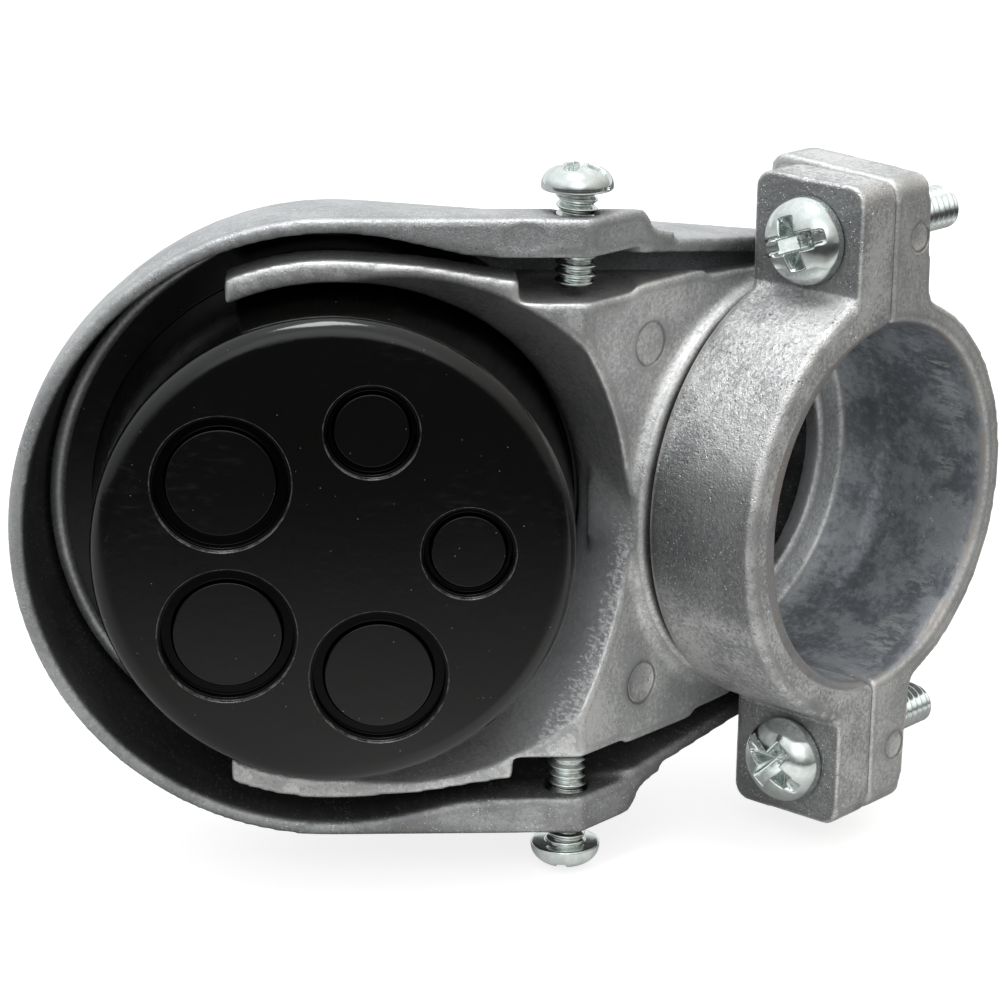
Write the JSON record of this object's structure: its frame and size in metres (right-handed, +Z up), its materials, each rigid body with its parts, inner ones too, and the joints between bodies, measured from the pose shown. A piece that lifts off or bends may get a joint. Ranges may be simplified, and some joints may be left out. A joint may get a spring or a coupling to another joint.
{
  "type": "service entrance weatherhead",
  "caption": "Clamp-on cast service entrance cap: split conduit clamp, removable rain hood and slanted black wire face with knockouts.",
  "frame": {"origin": "centre of the clamp mouth where the conduit enters", "axes": "+Z up the conduit axis, -Y the front towards which the wire face looks down, +X the part's right"},
  "size_m": [0.0836, 0.1075, 0.0766],
  "materials": {
    "cast_body": "die-cast, tumbled satin",
    "cast_strap": "die-cast, rough and pitted",
    "cast_hood": "die-cast, tumbled satin",
    "insulator_plastic": "semi-gloss moulded",
    "zinc_screws": "bright zinc plate"
  },
  "bodies": {
    "casting": {"body": "cast_body", "insulator": "insulator_plastic"},
    "strap": {"clamp_strap": "cast_strap"},
    "hood": {"hood": "cast_hood"},
    "clamp_screw_right": {"clamp_screw_right": "zinc_screws"},
    "clamp_screw_left": {"clamp_screw_left": "zinc_screws"},
    "hood_screw_right": {"hood_screw_right": "zinc_screws"},
    "hood_screw_left": {"hood_screw_left": "zinc_screws"}
  },
  "joints": [
    {"name": "strap_slide", "type": "slide", "parent": "casting", "child": "strap", "axis": [0, -1, 0], "range_m": [0, 0.006]},
    {"name": "clamp_screw_right_spin", "type": "hinge", "parent": "strap", "child": "clamp_screw_right", "pos_m": [0.0316, -0.0063, 0.0075], "axis": [0, -1, 0], "range_deg": [0, 2045]},
    {"name": "clamp_screw_left_spin", "type": "hinge", "parent": "strap", "child": "clamp_screw_left", "pos_m": [-0.0316, -0.0063, 0.0075], "axis": [0, -1, 0], "range_deg": [0, 2045]},
    {"name": "hood_lift", "type": "slide", "parent": "casting", "child": "hood", "axis": [0, 0.7071, 0.7071], "range_m": [0, 0.06]},
    {"name": "hood_screw_right_out", "type": "slide", "parent": "hood", "child": "hood_screw_right", "axis": [1, 0, 0], "range_m": [0, 0.004]},
    {"name": "hood_screw_left_out", "type": "slide", "parent": "hood", "child": "hood_screw_left", "axis": [-1, 0, 0], "range_m": [0, 0.004]}
  ],
  "couplings": [
    {"joint": "clamp_screw_right_spin", "follows": "strap_slide", "rad_per_m": 5938.7},
    {"joint": "clamp_screw_left_spin", "follows": "strap_slide", "rad_per_m": 5938.7}
  ]
}
